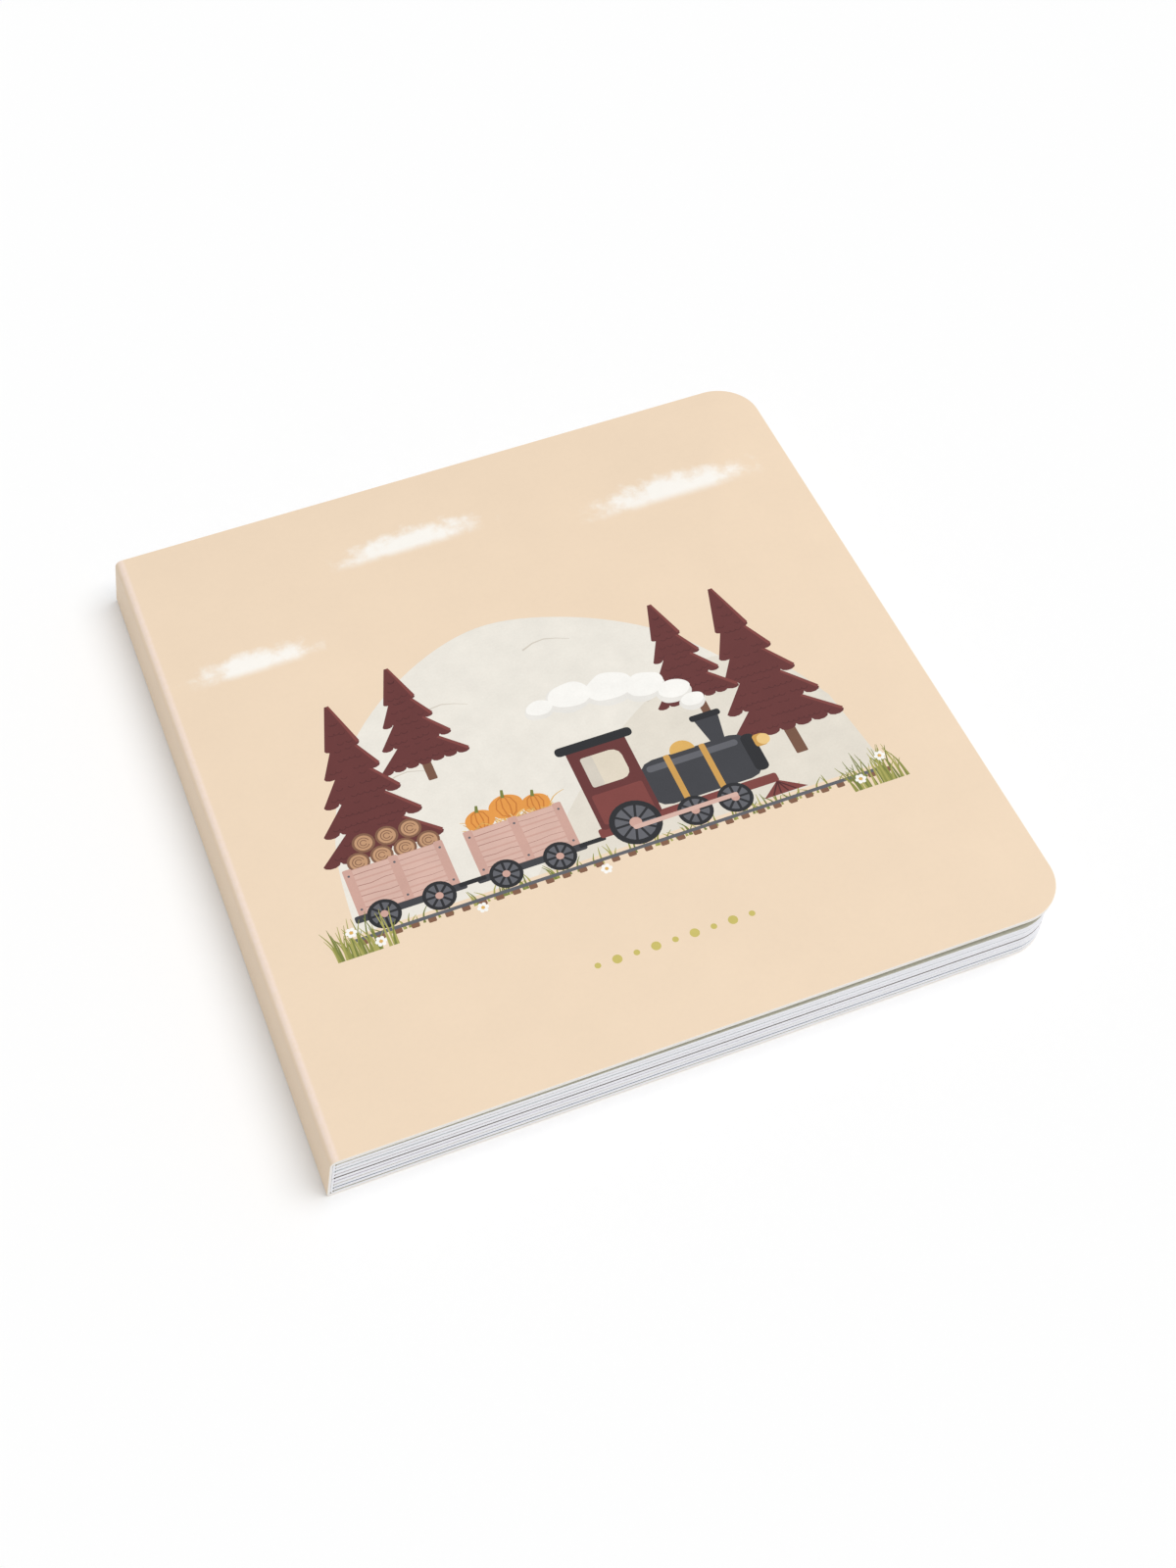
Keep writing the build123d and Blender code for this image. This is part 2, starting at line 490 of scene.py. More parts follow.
def paint_cover():
    draw = random.Random(11)
    paint_hills()
    for foot, base, height, width, tiers in (
        (-33, 0, 30, 22, 4),
        (-50, -20, 44, 29, 5),
        (50, -22, 46, 29, 5),
        (34, -6, 31, 21, 4),
    ):
        paint_fir(foot, base, height, width, tiers, draw)
    paint_grass(-62, 62, rail_y - 1.5, 5.0, 90, draw)
    paint_track()
    paint_wagon(-61, -37, "logs", draw)
    paint_wagon(-32, -8, "pumpkins", draw)
    for x in (-37, -8):
        paint(board(x - 0.5, rail_y + 4.4, x + 6.0, rail_y + 5.6, 0.4), iron_dark)
    paint_engine(-2, draw)
    paint_grass(-69, -55, rail_y - 4.5, 11, 42, draw)
    paint_grass(56, 70, rail_y - 4.5, 11, 42, draw)
    for x, y in ((-64, -38), (-58.5, -42.5), (59, -41.5), (66, -37), (-34.5, -42.5), (-5, -43)):
        paint_flower((x, y), 0.9)
    for place in range(9):
        paint(disc((2 + (place - 4) * 4.6, -66), 1.15 if place % 2 else 0.75, 14), dot_tone)


paint_cover()


# Sheets and plates of card

def rounded_plan(low, high, round_low, round_high, inset, stations):
    """Outline of a sheet with die-cut corners where an end is rounded, counter-clockwise."""
    side = half_height - inset
    first = low + (inset if round_low else 0)
    last = high - (inset if round_high else 0)
    radius = corner_radius - inset
    clear_low = low + (corner_radius if round_low else 0)
    clear_high = high - (corner_radius if round_high else 0)
    inner = [place for place in stations if clear_low < place < clear_high]

    def corner(x, y, start):
        return arc((x, y), radius, start, start + 90, corner_points)

    points = corner(first + radius, radius - side, 180) if round_low else [(first, -side)]
    points += [(place, -side) for place in inner]
    if round_high:
        points += corner(last - radius, radius - side, 270)
        points += corner(last - radius, side - radius, 0)
    else:
        points += [(last, -side), (last, side)]
    points += [(place, side) for place in inner[::-1]]
    points += corner(first + radius, side - radius, 90) if round_low else [(first, side)]
    return points


def rim_rings(depth, soft):
    """Insets and depths of the rings round a card's cut edge, with both of its rims softened."""
    turns = [radians(turn) for turn in (0, 30, 60, 90)]
    upper = [(soft * (1 - sin(turn)), soft * (1 - cos(turn))) for turn in turns]
    return upper + [(inset, depth - drop) for inset, drop in upper[::-1]]


def new_piece(name, mesh):
    piece = bpy.data.objects.new(name, mesh)
    bpy.context.scene.collection.objects.link(piece)
    return piece


def made_mesh(build, name):
    """The finished mesh, smooth over its softened rims and sharp at its other edges."""
    mesh = bpy.data.meshes.new(name)
    build.to_mesh(mesh)
    build.free()
    mesh.shade_smooth()
    mesh.set_sharp_from_angle(angle=radians(35))
    return mesh


def face_outward(build):
    bmesh.ops.recalc_face_normals(build, faces=build.faces)


def join_rings(build, rings, rim_material):
    """A card's cut edge, ring by ring. Its first and last strips are the card's rims."""
    last = len(rings) - 2
    for ring, (outer, inner) in enumerate(zip(rings, rings[1:])):
        for place in range(len(outer)):
            after = (place + 1) % len(outer)
            face = build.faces.new((inner[place], inner[after], outer[after], outer[place]))
            face.material_index = rim_material if ring in (0, last) else CUT


def split_face(outline, columns, shapes):
    """Triangles of a printed face, each with the place in paint order of the shape on top.

    The columns are lines across the sheet where it bends, and place 0 is the bare sheet.
    """
    points = [Vector(point) for point in outline]
    faces = [list(range(len(points)))]
    edges = []
    for column in columns:
        ends = [place for place, (x, y) in enumerate(outline) if abs(x - column) < 1e-5]
        if len(ends) == 2:
            edges.append(tuple(ends))
    for shape, tone in shapes:
        start = len(points)
        points += [Vector(point) for point in shape]
        faces.append(list(range(start, len(points))))
    keep_all, merge_reach = 0, 1e-4
    verts, _, triangles, _, _, owners = delaunay_2d_cdt(points, edges, faces, keep_all, merge_reach)
    kept = [(face, max(owner)) for face, owner in zip(triangles, owners) if 0 in owner]
    return verts, kept


def sheet_mesh(name, low, high, round_low, round_high, stations, shapes):
    """Closed mesh of the wrap between two places on the flat sheet, bent to its path."""
    build = bmesh.new()
    flat = build.verts.layers.float_vector.new("sheet_place")
    ink = build.faces.layers.float_color.new("ink")

    def add_vert(along, y, depth):
        vert = build.verts.new(wrap_place(along, y, depth) * MM)
        vert[flat] = Vector((along, y, depth))
        return vert

    rings = []
    for inset, depth in rim_rings(wrap_card, edge_round):
        outline = rounded_plan(low, high, round_low, round_high, inset, stations)
        rings.append([add_vert(x, y, depth) for x, y in outline])
    join_rings(build, rings, CUT)
    outline = rounded_plan(low, high, round_low, round_high, edge_round, stations)
    verts, kept = split_face(outline, stations, shapes)
    top = [add_vert(point.x, point.y, 0.0) for point in verts]
    no_ink = (0.0, 0.0, 0.0, 0.0)
    for corners, owner in kept:
        face = build.faces.new([top[corner] for corner in corners])
        face[ink] = shapes[owner - 1][1] if owner else no_ink
    verts, kept = split_face(outline, stations, [])
    under = [add_vert(point.x, point.y, wrap_card) for point in verts]
    for corners, owner in kept:
        face = build.faces.new([under[corner] for corner in reversed(corners)])
        face.material_index = CUT
    weld_reach = 0.0005 * MM
    bmesh.ops.remove_doubles(build, verts=build.verts, dist=weld_reach)
    return made_mesh(build, name)


def add_plate(build, start, end, low, high, soft):
    """A flat card from a straight end at the folds to die-cut corners at the fore-edge."""
    rings = []
    for inset, depth in rim_rings(high - low, soft):
        outline = rounded_plan(start, end, False, True, inset, [])
        rings.append([build.verts.new(Vector((x, y, high - depth)) * MM) for x, y in outline])
    join_rings(build, rings, PRINT)
    build.faces.new(rings[0])
    build.faces.new(rings[-1][::-1])


def add_fold(build, crown, inside):
    """A strip from the tail to the head: bare card on its crown, and the page's print inside."""
    section = crown + inside
    tail = [build.verts.new(Vector((x, -half_height, z)) * MM) for x, z in section]
    head = [build.verts.new(Vector((x, half_height, z)) * MM) for x, z in section]
    count = len(section)
    for place in range(count):
        after = (place + 1) % count
        face = build.faces.new((tail[place], tail[after], head[after], head[place]))
        face.material_index = CUT if place < len(crown) - 1 else PRINT
    build.faces.new(tail[::-1]).material_index = CUT
    build.faces.new(head).material_index = CUT


def lining_mesh(name, fold_centre, z_low, from_turn):
    """Half of a spread glued inside a cover, with half of its fold, which ends at the spine."""
    build = bmesh.new()
    z_high = z_low + spread_ply
    fore_edge = fore_edge_at((z_low + z_high) / 2)
    add_plate(build, fold_centre[0], fore_edge, z_low, z_high, lining_round)
    crown = arc(fold_centre, crown_radius, from_turn, 180, lining_crown_points)
    add_fold(build, crown, arc(fold_centre, eye_radius, 180, from_turn, eye_points))
    face_outward(build)
    return made_mesh(build, name)


def leaf_mesh():
    """One leaf with the two half folds at its spine end, measured from the fold above it."""
    build = bmesh.new()
    low = leaf_slack - valley_radius - leaf_board
    high = -leaf_slack - valley_radius
    add_plate(build, 0.0, fore_x - first_fold_x, low, high, leaf_round)
    lower = (-fold_step, -pitch)
    glued = crown_radius + glue_line
    crown = arc((0, 0), glued, 180, 270 - bead_turn, leaf_crown_points)
    crown += arc(lower, glued, 90 + bead_turn, 180, leaf_crown_points)
    inside = arc(lower, eye_radius, 180, 90, eye_points)
    inside += [(0.0, -valley_radius - leaf_board), (0.0, -valley_radius)]
    inside += arc((0, 0), eye_radius, 270, 180, eye_points)[1:]
    add_fold(build, crown, inside)
    face_outward(build)
    mesh = made_mesh(build, "leaf")
    cut = mesh.attributes.new("cut_edge", "BOOLEAN", "FACE")
    cut.data.foreach_set("value", [face.material_index == CUT for face in mesh.polygons])
    return mesh


# Node trees

def feed(tree, value, socket):
    if isinstance(value, bpy.types.NodeSocket):
        tree.links.new(value, socket)
    else:
        socket.default_value = value


def add_node(tree, kind, inputs=None, **settings):
    """A node with its settings, and its inputs by name or place, each a value or a socket."""
    node = tree.nodes.new(kind)
    for name, value in settings.items():
        setattr(node, name, value)
    for name, value in (inputs or {}).items():
        feed(tree, value, node.inputs[name])
    return node


def reckon(tree, operation, first, second=0.0, third=0.0):
    node = add_node(tree, "ShaderNodeMath", {0: first, 1: second, 2: third}, operation=operation)
    return node.outputs[0]


def blend_colour(tree, share, first, second, blend_type="MIX"):
    inputs = {0: share, 6: first, 7: second}
    mix = add_node(tree, "ShaderNodeMix", inputs, data_type="RGBA", blend_type=blend_type)
    return mix.outputs[2]


def shade_colour(tree, base, level, amount):
    """A colour made lighter and darker by a level from -1 to 1, by at most an amount."""
    shade = reckon(tree, "MULTIPLY_ADD", level, amount, 1.0)
    tint = add_node(tree, "ShaderNodeCombineColor", {0: shade, 1: shade, 2: shade}).outputs[0]
    return blend_colour(tree, 1.0, base, tint, "MULTIPLY")


def remap(tree, value, from_low, from_high, to_low=0.0, to_high=1.0, smooth_step=False):
    inputs = {0: value, 1: from_low, 2: from_high, 3: to_low, 4: to_high}
    kind = "SMOOTHSTEP" if smooth_step else "LINEAR"
    return add_node(tree, "ShaderNodeMapRange", inputs, interpolation_type=kind).outputs[0]


def noise(tree, place, scale, detail=3.0, roughness=0.5):
    inputs = {"Vector": place, "Scale": scale, "Detail": detail, "Roughness": roughness}
    return add_node(tree, "ShaderNodeTexNoise", inputs).outputs["Fac"]


def new_group(name, inputs, outputs):
    """A shader node group with named sockets; each input is its kind and its first value."""
    tree = bpy.data.node_groups.new(name, "ShaderNodeTree")
    for label, (kind, value) in inputs.items():
        socket = tree.interface.new_socket(label, in_out="INPUT", socket_type=kind)
        if value is not None:
            socket.default_value = value
    for label, kind in outputs.items():
        tree.interface.new_socket(label, in_out="OUTPUT", socket_type=kind)
    return tree, tree.nodes.new("NodeGroupInput"), tree.nodes.new("NodeGroupOutput")


FLOAT, VECTOR, COLOUR = "NodeSocketFloat", "NodeSocketVector", "NodeSocketColor"


def make_paper_grain():
    """Fine tooth of the laminated paper, with places in millimetres."""
    tree, given, made = new_group(
        "paper grain", {"Place": (VECTOR, None), "Size": (FLOAT, 1.0)}, {"Height": FLOAT}
    )
    place, size = given.outputs["Place"], given.outputs["Size"]
    fine = noise(tree, place, reckon(tree, "DIVIDE", 2.6, size), 3.0, 0.6)
    broad = noise(tree, place, reckon(tree, "DIVIDE", 0.55, size), 2.0, 0.5)
    feed(tree, reckon(tree, "MULTIPLY_ADD", broad, 0.4, fine), made.inputs["Height"])
    return tree


def make_colour_wash():
    """Uneven pigment of a painted picture once it is printed."""
    inputs = {
        "Colour": (COLOUR, None),
        "Place": (VECTOR, None),
        "Scale": (FLOAT, 0.12),
        "Amount": (FLOAT, 0.1),
    }
    tree, given, made = new_group("colour wash", inputs, {"Colour": COLOUR})
    place, scale = given.outputs["Place"], given.outputs["Scale"]
    cloudy = noise(tree, place, scale, 5.0, 0.62)
    speckle = noise(tree, place, reckon(tree, "MULTIPLY", scale, 14.0), 2.0, 0.7)
    level = reckon(tree, "MULTIPLY_ADD", speckle, 0.45, cloudy)
    level = remap(tree, level, 0.45, 1.0, -1.0, 1.0)
    shaded = shade_colour(tree, given.outputs["Colour"], level, given.outputs["Amount"])
    feed(tree, shaded, made.inputs["Colour"])
    return tree


def make_card_fibres():
    """Fibres of a cut card edge, drawn out along the card."""
    inputs = {"Colour": (COLOUR, None), "Place": (VECTOR, None), "Amount": (FLOAT, 0.1)}
    tree, given, made = new_group("card fibres", inputs, {"Colour": COLOUR, "Height": FLOAT})
    place = given.outputs["Place"]
    drawn_out = {"Vector": place, "Scale": (0.22, 0.22, 6.0)}
    drawn = add_node(tree, "ShaderNodeMapping", drawn_out).outputs[0]
    streaks = noise(tree, drawn, 1.6, 4.0, 0.7)
    flecks = noise(tree, place, 5.0, 2.0, 0.6)
    level = reckon(tree, "MULTIPLY_ADD", flecks, 0.5, streaks)
    level = remap(tree, level, 0.5, 1.05, -1.0, 1.0)
    shaded = shade_colour(tree, given.outputs["Colour"], level, given.outputs["Amount"])
    feed(tree, shaded, made.inputs["Colour"])
    feed(tree, level, made.inputs["Height"])
    return tree


def make_soft_cloud():
    """Mask of one brushed cloud, flat below and ragged above."""
    inputs = {
        "Place": (VECTOR, None),
        "Centre": (VECTOR, None),
        "Length": (FLOAT, 20.0),
        "Height": (FLOAT, 5.0),
    }
    tree, given, made = new_group("soft cloud", inputs, {"Mask": FLOAT})
    ends = {0: given.outputs["Place"], 1: given.outputs["Centre"]}
    away = add_node(tree, "ShaderNodeVectorMath", ends, operation="SUBTRACT").outputs[0]
    parts = add_node(tree, "ShaderNodeSeparateXYZ", {0: away}).outputs
    ragged = noise(tree, given.outputs["Place"], 0.22, 6.0, 0.62)
    across = reckon(tree, "DIVIDE", parts[0], given.outputs["Length"])
    rise = reckon(tree, "DIVIDE", parts[1], given.outputs["Height"])
    below = remap(tree, rise, -0.55, -0.05, 0.0, 1.0, True)
    across_squared = reckon(tree, "MULTIPLY", across, across)
    rise_squared = reckon(tree, "MULTIPLY", rise, rise)
    reach = reckon(tree, "SQRT", reckon(tree, "ADD", across_squared, rise_squared))
    body = reckon(tree, "MULTIPLY_ADD", ragged, 1.3, reckon(tree, "MULTIPLY", reach, -1.0))
    body = remap(tree, body, -0.35, 0.35, 0.0, 1.0, True)
    feed(tree, reckon(tree, "MULTIPLY", body, below), made.inputs["Mask"])
    return tree


paper_grain = make_paper_grain()
colour_wash = make_colour_wash()
card_fibres = make_card_fibres()
soft_cloud = make_soft_cloud()


def use_group(tree, group, inputs):
    node = tree.nodes.new("ShaderNodeGroup")
    node.node_tree = group
    for name, value in inputs.items():
        feed(tree, value, node.inputs[name])
    return node.outputs


def new_material(name):
    """A material's tree and its shader, with the default nodes cleared away."""
    material = bpy.data.materials.new(name)
    material.use_nodes = True
    tree = material.node_tree
    tree.nodes.clear()
    shader = tree.nodes.new("ShaderNodeBsdfPrincipled")
    output = tree.nodes.new("ShaderNodeOutputMaterial")
    tree.links.new(shader.outputs[0], output.inputs["Surface"])
    return material, tree, shader


def attribute(tree, name):
    settings = {"attribute_type": "GEOMETRY", "attribute_name": name}
    return add_node(tree, "ShaderNodeAttribute", **settings).outputs


def sheet_place(tree):
    """Place on the flat sheet that the wrap is bent from, in millimetres, with its depth as Z."""
    return attribute(tree, "sheet_place")["Vector"]


def body_place(tree):
    """Place on a rigid piece, in millimetres."""
    place = add_node(tree, "ShaderNodeTexCoord").outputs["Object"]
    to_millimetres = {0: place, "Scale": 1 / MM}
    return add_node(tree, "ShaderNodeVectorMath", to_millimetres, operation="SCALE").outputs[0]


def set_bump(tree, shader, height, depth):
    inputs = {"Height": height, "Distance": depth * MM, "Strength": 1.0}
    bump = add_node(tree, "ShaderNodeBump", inputs)
    tree.links.new(bump.outputs[0], shader.inputs["Normal"])


# Tones and places of the print, and of the cut card

cover_sand = (240, 217, 190)
cloud_tone = (252, 248, 241)
clouds = (
    ((-14, 68, 0), 23.0, 6.5),
    ((-62, 44, 0), 19.0, 6.0),
    ((55, 60, 0), 26.0, 7.5),
)
# A lighter band along the ridge: rubbed wear, and a painted highlight where the rounded ridge turns
# to the light
ridge_wear_and_highlight_tone = (246, 226, 214)
wear_and_highlight_shift = 0.4            # how far the ridge's wear and painted highlight lie from the cover's flat face
wear_and_highlight_full, wear_and_highlight_end = 0.4, 1.2
endpaper = (207, 204, 188)
ink_reach = (0.04, 0.2)     # depths between which the cover's ink ends on the cut card
inside_depth = wrap_card - 0.005
fibre_contrast = 0.012


def printed_cover():
    """Matt laminated print: a sandy ground with brushed clouds, and the picture's inks on it."""
    material, tree, shader = new_material("printed cover")
    place = sheet_place(tree)
    along = add_node(tree, "ShaderNodeSeparateXYZ", {0: place}).outputs[0]
    ground = colour(*cover_sand)
    for centre, length, height in clouds:
        cloud = {"Place": place, "Centre": centre, "Length": length, "Height": height}
        mask = use_group(tree, soft_cloud, cloud)[0]
        ground = blend_colour(tree, mask, ground, colour(*cloud_tone))
    wash = {"Colour": ground, "Place": place, "Scale": 0.05, "Amount": 0.02}
    ground = use_group(tree, colour_wash, wash)[0]
    # Lighter band along the ridge, mottled in patches: partly wear, partly a painted highlight on
    # the rounding
    off_ridge = reckon(tree, "SUBTRACT", along, ridge_centre_x - wear_and_highlight_shift)
    off_ridge = reckon(tree, "ABSOLUTE", off_ridge)
    worn_and_lit = remap(tree, off_ridge, wear_and_highlight_full, wear_and_highlight_end, 1.0, 0.0, True)
    patches = remap(tree, noise(tree, place, 0.8, 4.0, 0.7), 0.3, 0.6, 0.4, 0.8)
    worn_and_lit = reckon(tree, "MULTIPLY", worn_and_lit, patches)
    ground = blend_colour(tree, worn_and_lit, ground, colour(*ridge_wear_and_highlight_tone))
    ink = attribute(tree, "ink")
    wash = {"Colour": ink["Color"], "Place": place, "Scale": 0.12, "Amount": 0.06}
    inked = use_group(tree, colour_wash, wash)[0]
    tree.links.new(blend_colour(tree, ink["Alpha"], ground, inked), shader.inputs["Base Color"])
    grain = use_group(tree, paper_grain, {"Place": place, "Size": 1.0})[0]
    tree.links.new(remap(tree, grain, 0.4, 1.0, 0.52, 0.64), shader.inputs["Roughness"])
    shader.inputs["Specular IOR Level"].default_value = 0.28
    set_bump(tree, shader, grain, 0.012)
    return material


def cut_card(name, tone, read_place, rim_tone=None, inside_tone=None):
    """The cut edge of card, with its fibres.

    On the wrap, ink goes over the rim of the printed face, and the inside, which shows only in an
    open crease, has the tone of the spread that covers it.
    """
    material, tree, shader = new_material(name)
    place = read_place(tree)
    ground = colour(*tone)
    if rim_tone:
        depth = add_node(tree, "ShaderNodeSeparateXYZ", {0: place}).outputs[2]
        inked = remap(tree, depth, *ink_reach, 1.0, 0.0, True)
        ground = blend_colour(tree, inked, ground, colour(*rim_tone))
        inside = reckon(tree, "GREATER_THAN", depth, inside_depth)
        ground = blend_colour(tree, inside, ground, colour(*inside_tone))
    card = {"Colour": ground, "Place": place, "Amount": fibre_contrast}
    fibres = use_group(tree, card_fibres, card)
    tree.links.new(fibres["Colour"], shader.inputs["Base Color"])
    shader.inputs["Roughness"].default_value = 0.8
    set_bump(tree, shader, fibres["Height"], 0.004)
    return material


def printed_page():
    """A page's ground colour from its own tint, with the pigment's unevenness."""
    material, tree, shader = new_material("printed page")
    place = body_place(tree)
    tint = attribute(tree, "page_tint")["Color"]
    wash = {"Colour": tint, "Place": place, "Scale": 0.06, "Amount": 0.06}
    washed = use_group(tree, colour_wash, wash)[0]
    tree.links.new(washed, shader.inputs["Base Color"])
    grain = use_group(tree, paper_grain, {"Place": place, "Size": 1.2})[0]
    tree.links.new(remap(tree, grain, 0.4, 1.0, 0.42, 0.55), shader.inputs["Roughness"])
    set_bump(tree, shader, grain, 0.008)
    return material


cover_print = printed_cover()
cover_cut = cut_card("cut cover card", (250, 246, 243), sheet_place, (246, 229, 204), endpaper)
lining_cut = cut_card("cut lining card", (247, 243, 236), body_place)
leaf_cut = cut_card("cut leaf card", (246, 246, 250), body_place)
page_print = printed_page()

# Ground colours of the spreads, from the front cover down
spread_tints = (
    endpaper,
    (233, 228, 218),
    (222, 226, 226),
    (214, 206, 204),
    (142, 134, 128),
    (224, 218, 226),
    (232, 228, 218),
    (124, 146, 164),
    endpaper,
)


def tint_pages(mesh, spread_of):
    """Gives each face the ground colour of the spread that it belongs to."""
    tints = mesh.attributes.new("page_tint", "FLOAT_COLOR", "FACE")
    for face in mesh.polygons:
        tints.data[face.index].color = colour(*spread_tints[spread_of(face)])


# The wrap, in two pieces that meet low on the spine

def wrap_stations():
    """Places where the sheet needs a line across it to bend, in order along the sheet."""
    ridge = spread(ridge_centre_x, spine_start, 11)
    heel = spread(spine_end, under_start, 9)
    heights = spread(*front_bend, 8) + spine_heights + spread(*back_bend, 8)
    return sorted(ridge + heel + [along_at_height(height) for height in heights])


def sheet_piece(name, low, high, round_low, round_high, shapes):
    mesh = sheet_mesh(name, low, high, round_low, round_high, wrap_stations(), shapes)
    return new_piece(name, mesh)


seam = along_at_height(seam_height)
cover_sheet = sheet_piece("cover_sheet", seam, fore_x, False, True, picture)
back_sheet = sheet_piece("back_sheet", under_end, seam, True, False, [])
for sheet in (cover_sheet, back_sheet):
    sheet.data.materials.append(cover_print)
    sheet.data.materials.append(cover_cut)

# Linings: the outer halves of the first and last spreads, glued inside the covers

def lining_piece(name, fold_centre, z_low, from_turn, spread_place, cut):
    mesh = lining_mesh(name, fold_centre, z_low, from_turn)
    mesh.materials.append(page_print)
    mesh.materials.append(cut)
    tint_pages(mesh, lambda face: spread_place)
    return new_piece(name, mesh)


front_fold = (first_fold_x, first_fold_z)
back_fold = (last_fold_x, last_fold_z)
inner_z = thickness - cover_board
front_lining = lining_piece("front_lining", front_fold, inner_z, 90, 0, lining_cut)
back_lining = lining_piece("back_lining", back_fold, wrap_card, 270, leaf_count, leaf_cut)


# Page block: each leaf is one copy of a leaf with its half folds, set on its fold and fanned out

def leaf_fan(leaf):
    """How much a leaf rises from its fold to the fore-edge."""
    return leaf * fold_gap - sum(edge_gaps[:leaf])


def leaf_reach(leaf):
    """How much further a leaf must reach from its fold than the template does."""
    return (leaf - 1) * fold_step - leaf_inset


def make_leaf_tree():
    """Sets a leaf on each point, stretches it to its own fore-edge and fans it out."""
    tree = bpy.data.node_groups.new("leaf stack", "GeometryNodeTree")
    tree.interface.new_socket("Geometry", in_out="INPUT", socket_type="NodeSocketGeometry")
    for label, kind in (
        ("Leaf", "NodeSocketObject"),
        ("Page print", "NodeSocketMaterial"),
        ("Cut edge", "NodeSocketMaterial"),
        ("Fold line", "NodeSocketFloat"),
        ("Fore-edge", "NodeSocketFloat"),
        ("Uneven trim", "NodeSocketFloat"),
        ("Seed", "NodeSocketInt"),
    ):
        tree.interface.new_socket(label, in_out="INPUT", socket_type=kind)
    tree.interface.new_socket("Geometry", in_out="OUTPUT", socket_type="NodeSocketGeometry")
    given = tree.nodes.new("NodeGroupInput").outputs
    made = tree.nodes.new("NodeGroupOutput").inputs

    def made_by(kind, inputs, **settings):
        return add_node(tree, kind, inputs, **settings).outputs[0]

    def named(name, kind="FLOAT"):
        return made_by("GeometryNodeInputNamedAttribute", {"Name": name}, data_type=kind)

    leaf = add_node(tree, "GeometryNodeObjectInfo", {"Object": given["Leaf"]}).outputs["Geometry"]
    points = {"Points": given["Geometry"], "Instance": leaf}
    placed = made_by("GeometryNodeInstanceOnPoints", points)
    real = made_by("GeometryNodeRealizeInstances", {"Geometry": placed})
    x = made_by("ShaderNodeSeparateXYZ", {0: made_by("GeometryNodeInputPosition", {})})
    share = remap(tree, x, given["Fold line"], given["Fore-edge"])
    past_middle = reckon(tree, "GREATER_THAN", share, 0.5)
    reach = reckon(tree, "MULTIPLY", past_middle, named("reach"))
    fan = reckon(tree, "MULTIPLY", share, named("fan"))
    shift = add_node(tree, "FunctionNodeRandomValue", data_type="FLOAT")
    feed(tree, reckon(tree, "MULTIPLY", given["Uneven trim"], -1.0), shift.inputs[2])
    feed(tree, given["Uneven trim"], shift.inputs[3])
    feed(tree, named("leaf_number", "INT"), shift.inputs["ID"])
    feed(tree, given["Seed"], shift.inputs["Seed"])
    aside = made_by("ShaderNodeCombineXYZ", {0: reach, 1: shift.outputs[1], 2: fan})
    moved = made_by("GeometryNodeSetPosition", {"Geometry": real, "Offset": aside})
    page = {"Geometry": moved, "Material": given["Page print"]}
    pages = made_by("GeometryNodeSetMaterial", page)
    is_cut = named("cut_edge", "BOOLEAN")
    edge = {"Geometry": pages, "Material": given["Cut edge"], "Selection": is_cut}
    feed(tree, made_by("GeometryNodeSetMaterial", edge), made[0])
    return tree


def make_leaf_stack():
    template = new_piece("leaf", leaf_mesh())
    points = bpy.data.meshes.new("leaf_folds")
    steps = range(leaf_count)
    folds = [(first_fold_x - step * fold_step, 0, first_fold_z - step * pitch) for step in steps]
    points.from_pydata([Vector(fold) * MM for fold in folds], [], [])
    leaves = range(1, leaf_count + 1)
    for name, kind, values in (
        ("reach", "FLOAT", [leaf_reach(leaf) * MM for leaf in leaves]),
        ("fan", "FLOAT", [leaf_fan(leaf) * MM for leaf in leaves]),
        ("leaf_number", "INT", list(leaves)),
    ):
        points.attributes.new(name, kind, "POINT").data.foreach_set("value", values)
    stack = new_piece("leaf_stack", points)
    tree = make_leaf_tree()
    modifier = stack.modifiers.new("leaves", "NODES")
    modifier.node_group = tree
    wanted = {
        "Leaf": template,
        "Page print": page_print,
        "Cut edge": leaf_cut,
        "Fold line": first_fold_x * MM,
        "Fore-edge": fore_x * MM,
        "Uneven trim": uneven_trim * MM,
        "Seed": trim_seed,
    }
    for item in tree.interface.items_tree:
        if item.in_out == "INPUT" and item.name in wanted:
            modifier[item.identifier] = wanted[item.name]
    depsgraph = bpy.context.evaluated_depsgraph_get()
    mesh = bpy.data.meshes.new_from_object(stack.evaluated_get(depsgraph))
    stack.modifiers.remove(modifier)
    stack.data = mesh
    mesh.name = "leaf_stack"
    bpy.data.objects.remove(template)
    numbers = [item.value for item in mesh.attributes["leaf_number"].data]

    def spread_of(face):
        leaf = numbers[face.vertices[0]]
        return leaf - 1 if face.normal.z > 0 else leaf

    tint_pages(mesh, spread_of)
    return stack


leaf_stack = make_leaf_stack()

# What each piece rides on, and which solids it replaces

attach(leaf_stack, "block")
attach(front_lining, "front_cover")
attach(back_lining, "back_cover")
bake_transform(cover_sheet)
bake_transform(back_sheet)
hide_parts("page_block")
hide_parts("front_cover", "spine")
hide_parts("back_cover")


# Studio: a pale floor, soft light from a window on the fore-edge side, a little from a wall on the
# spine's side, and the camera at the spine's end of the tail

def make_floor():
    half = 1.6
    drop = floor_drop * MM
    corners = [(x * half, y * half, -drop) for x, y in ((-1, -1), (1, -1), (1, 1), (-1, 1))]
    mesh = bpy.data.meshes.new("floor")
    mesh.from_pydata(corners, [], [(0, 1, 2, 3)])
    floor = new_piece("floor", mesh)
    material, _, shader = new_material("studio floor")
    shader.inputs["Base Color"].default_value = (0.985, 0.985, 0.985, 1.0)
    shader.inputs["Roughness"].default_value = 0.9
    shader.inputs["Specular IOR Level"].default_value = 0.0
    mesh.materials.append(material)


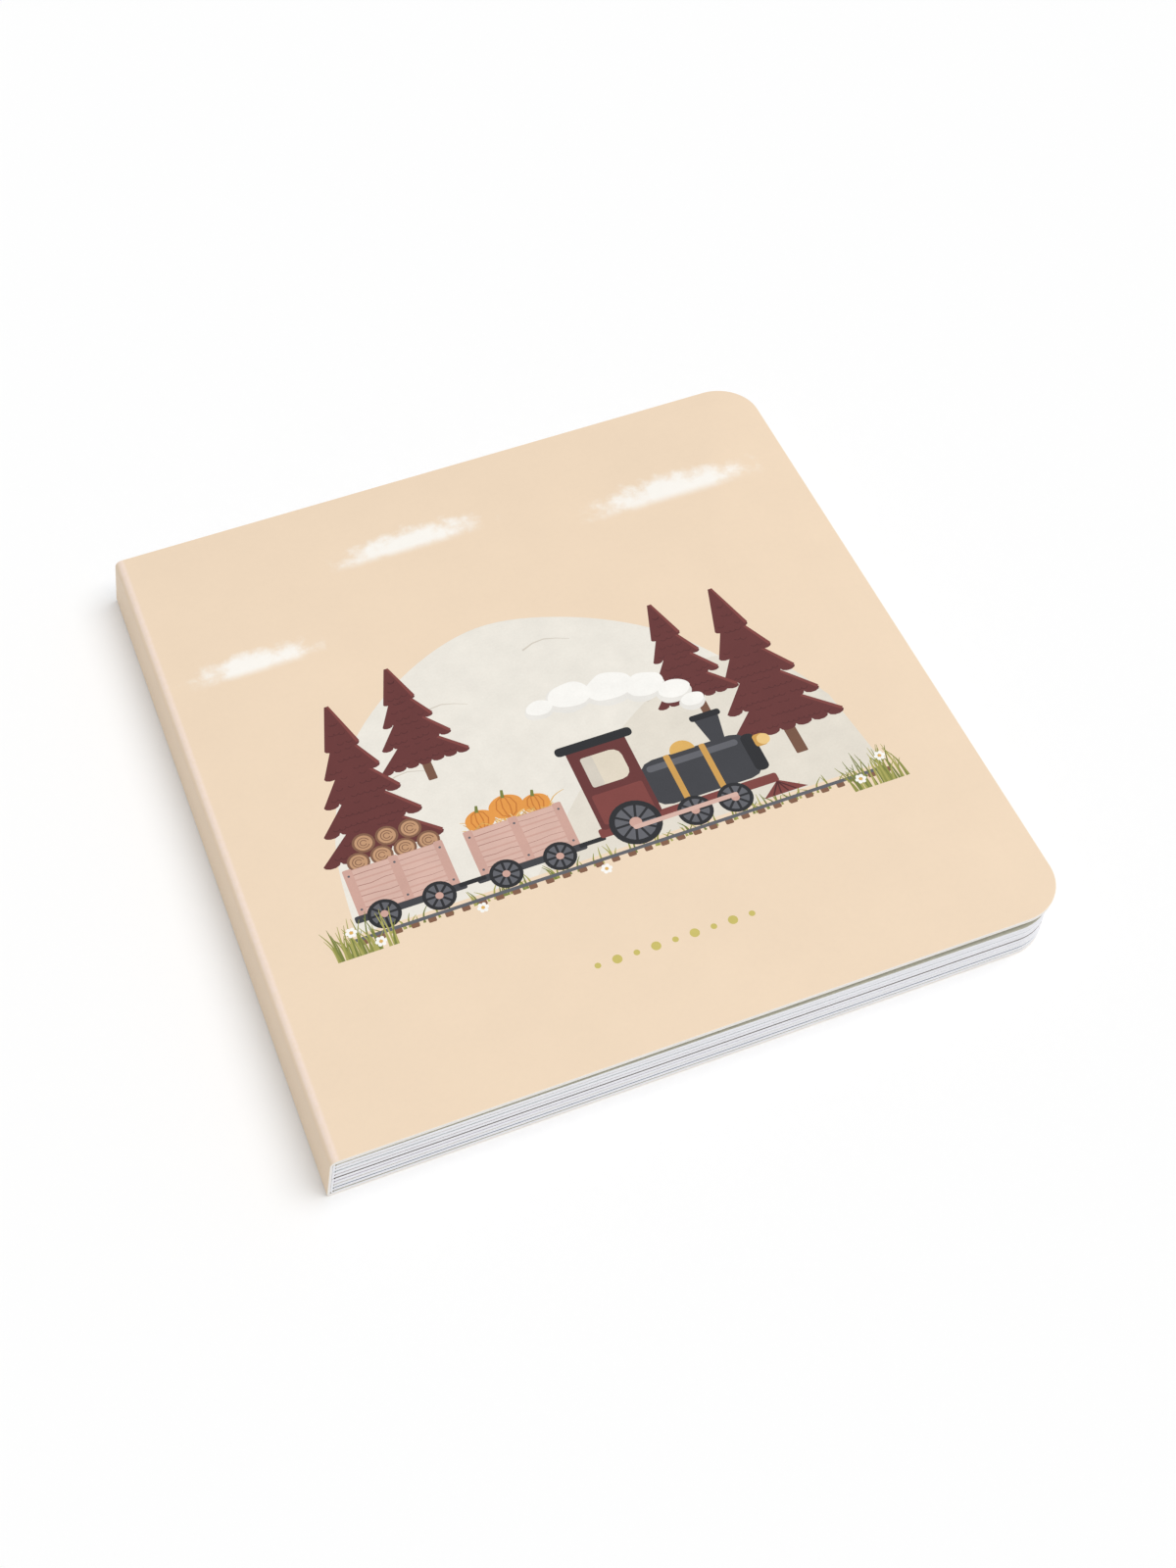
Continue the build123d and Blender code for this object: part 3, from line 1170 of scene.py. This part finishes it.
def make_world():
    """Cool light from all round, and a plain white backdrop that lights nothing."""
    world = bpy.data.worlds.new("studio")
    world.use_nodes = True
    tree = world.node_tree
    tree.nodes.clear()

    def background(tone, strength):
        inputs = {"Color": tone, "Strength": strength}
        return add_node(tree, "ShaderNodeBackground", inputs).outputs[0]

    light = background((0.965, 0.982, 1.0, 1.0), 0.56)
    backdrop = background((1.0, 1.0, 1.0, 1.0), 1.0)
    seen = add_node(tree, "ShaderNodeLightPath").outputs["Is Camera Ray"]
    mixed = add_node(tree, "ShaderNodeMixShader", {0: seen, 1: light, 2: backdrop}).outputs[0]
    add_node(tree, "ShaderNodeOutputWorld", {"Surface": mixed})
    bpy.context.scene.world = world


def make_lights():
    """Soft suns, each with its energy, its width in degrees and the way it shines."""
    for name, energy, width, towards in (
        ("window", 1.6, 46, (-0.46, 0.12, -0.95)),
        ("far wall", 0.05, 60, (0.7, 0.06, -0.7)),
    ):
        sun = bpy.data.lights.new(name, "SUN")
        sun.energy = energy
        sun.angle = radians(width)
        sun.color = (1.0, 0.982, 0.96)
        lamp = bpy.data.objects.new(name, sun)
        lamp.rotation_mode = "QUATERNION"
        lamp.rotation_quaternion = Vector(towards).to_track_quat("-Z", "Y")
        bpy.context.scene.collection.objects.link(lamp)


def make_camera():
    """The camera, placed and turned as the lines of the book's edges give it."""
    data = bpy.data.cameras.new("camera")
    data.sensor_width = 36.0
    data.lens = 48.869
    data.shift_x = 0.04305
    data.shift_y = 0.00373
    data.clip_start = 0.01
    camera = bpy.data.objects.new("camera", data)
    right = Vector((0.93525891, -0.35287644, -0.0277305))
    up = Vector((0.30004001, 0.74877681, 0.59102394))
    back = Vector((-0.18779447, -0.56108067, 0.80617723))
    turn = Matrix((right, up, back)).transposed().to_4x4()
    place = Vector((-107.971, -292.085, 411.615)) * MM
    camera.matrix_world = Matrix.Translation(place) @ turn
    bpy.context.scene.collection.objects.link(camera)
    bpy.context.scene.camera = camera


make_floor()
make_world()
make_lights()
make_camera()
bpy.context.scene.view_settings.view_transform = "Standard"
